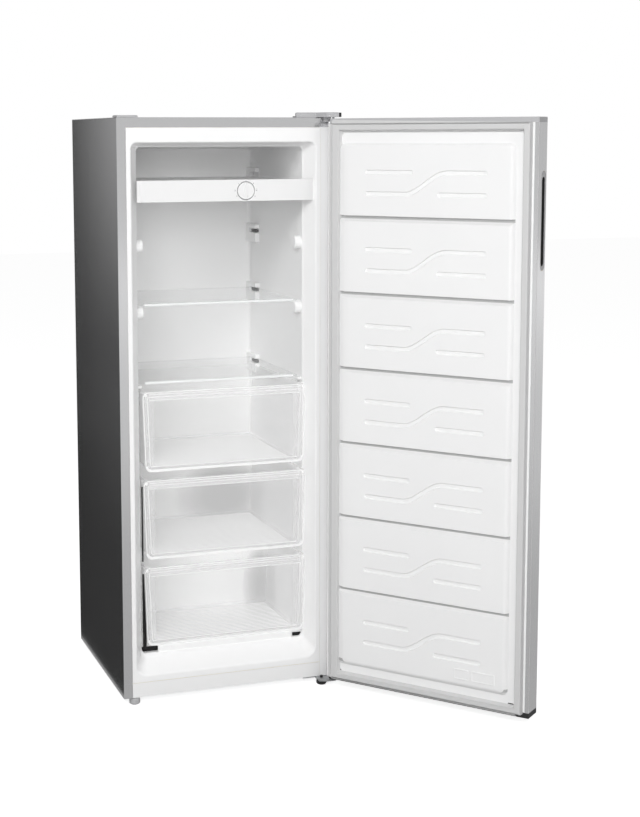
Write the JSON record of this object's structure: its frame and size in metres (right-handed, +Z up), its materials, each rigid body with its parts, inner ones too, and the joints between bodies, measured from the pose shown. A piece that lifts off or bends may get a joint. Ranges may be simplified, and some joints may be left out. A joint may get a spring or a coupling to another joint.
{
  "type": "upright freezer",
  "caption": "Tall free-standing freezer cabinet with its door open, showing a white liner, glass shelves, clear drawers and a control strip with a dial.",
  "frame": {"origin": "on the floor, at the centre of the rectangle that the freezer takes up with its door open as stored", "axes": "+X to the cabinet's right seen from the front, +Y from the front of the cabinet to its back, +Z up"},
  "size_m": [0.9158, 0.9594, 1.46],
  "materials": {
    "silver_steel": "silver paint with a fine metallic grain, satin",
    "zinc_steel": "galvanised sheet, dull",
    "white_steel": "white paint, satin",
    "white_liner": "vacuum-formed polystyrene, semi-gloss",
    "white_plastic": "moulded, satin",
    "grey_plastic": "silver-grey moulding, satin",
    "black_plastic": "matt moulding",
    "gasket_vinyl": "soft vinyl, matt",
    "insulation": "rigid polyurethane foam",
    "clear_plastic": "clear polystyrene, glossy",
    "shelf_glass": "toughened clear glass with a ground front edge",
    "black_enamel": "black enamel, semi-gloss",
    "black_rubber": "matt",
    "copper": "drawn copper tube, dull",
    "evaporator_aluminium": "drawn tube"
  },
  "bodies": {
    "cabinet": {"cabinet_wrap": "silver_steel", "back_panel": "zinc_steel", "base_plate": "zinc_steel", "insulation_foam": "insulation", "inner_liner": "white_liner", "kick_plate": "white_steel", "machine_lining": "zinc_steel", "compressor_tray": "zinc_steel", "compressor": "black_enamel", "relay_cover": "black_plastic", "compressor_mount_1": "black_rubber", "compressor_mount_2": "black_rubber", "compressor_mount_3": "black_rubber", "compressor_mount_4": "black_rubber", "filter_drier": "copper", "discharge_pipe": "copper", "suction_pipe": "copper", "mains_inlet": "black_plastic", "condenser_left": "copper", "condenser_right": "copper", "evaporator_coil": "evaporator_aluminium", "rear_foot_left": "black_plastic", "rear_foot_right": "black_plastic", "control_fascia": "white_plastic", "control_housing": "white_plastic", "thermostat": "zinc_steel", "top_hinge": "zinc_steel", "top_hinge_screw_1": "zinc_steel", "top_hinge_screw_2": "zinc_steel", "top_hinge_screw_3": "zinc_steel", "hinge_cover": "grey_plastic", "hinge_hole_cover": "grey_plastic", "lower_hinge": "zinc_steel", "lower_hinge_screw_1": "zinc_steel", "lower_hinge_screw_2": "zinc_steel"},
    "door": {"door_skin": "silver_steel", "door_foam": "insulation", "door_liner": "white_liner", "door_gasket": "gasket_vinyl", "door_top_cap": "grey_plastic", "door_bottom_cap": "grey_plastic", "door_grip": "grey_plastic", "hinge_bush_top": "black_plastic", "hinge_bush_bottom": "black_plastic"},
    "knob": {"thermostat_knob": "white_plastic"},
    "left_foot": {"front_foot_left": "grey_plastic"},
    "right_foot": {"front_foot_right": "black_plastic"},
    "shelf_1": {"shelf_1_glass": "shelf_glass", "shelf_1_trim": "clear_plastic"},
    "shelf_2": {"shelf_2_glass": "shelf_glass", "shelf_2_trim": "clear_plastic"},
    "drawer_1": {"drawer_1_basket": "clear_plastic", "drawer_1_front": "clear_plastic"},
    "drawer_2": {"drawer_2_basket": "clear_plastic", "drawer_2_front": "clear_plastic"},
    "drawer_3": {"drawer_3_basket": "clear_plastic", "drawer_3_front": "clear_plastic"}
  },
  "joints": [
    {"name": "door_hinge", "type": "hinge", "parent": "cabinet", "child": "door", "pos_m": [0.08252, -0.04928, 0.734], "axis": [0, 0, 1], "range_deg": [-129.6, 5.4]},
    {"name": "knob_turn", "type": "hinge", "parent": "cabinet", "child": "knob", "pos_m": [-0.13428, -0.015, 1.27], "axis": [0, -1, 0], "range_deg": [-140, 140]},
    {"name": "left_foot_turn", "type": "hinge", "parent": "cabinet", "child": "left_foot", "pos_m": [-0.42788, -0.00828, 0.01], "axis": [0, 0, 1], "continuous": true},
    {"name": "right_foot_turn", "type": "hinge", "parent": "cabinet", "child": "right_foot", "pos_m": [0.06212, -0.02828, 0.01], "axis": [0, 0, 1], "continuous": true},
    {"name": "shelf_1_slide", "type": "slide", "parent": "cabinet", "child": "shelf_1", "axis": [0, -1, 0], "range_m": [0, 0.3]},
    {"name": "shelf_2_slide", "type": "slide", "parent": "cabinet", "child": "shelf_2", "axis": [0, -1, 0], "range_m": [0, 0.3]},
    {"name": "drawer_1_slide", "type": "slide", "parent": "cabinet", "child": "drawer_1", "axis": [0, -1, 0], "range_m": [0, 0.3]},
    {"name": "drawer_2_slide", "type": "slide", "parent": "cabinet", "child": "drawer_2", "axis": [0, -1, 0], "range_m": [0, 0.3]},
    {"name": "drawer_3_slide", "type": "slide", "parent": "cabinet", "child": "drawer_3", "axis": [0, -1, 0], "range_m": [0, 0.2]}
  ]
}
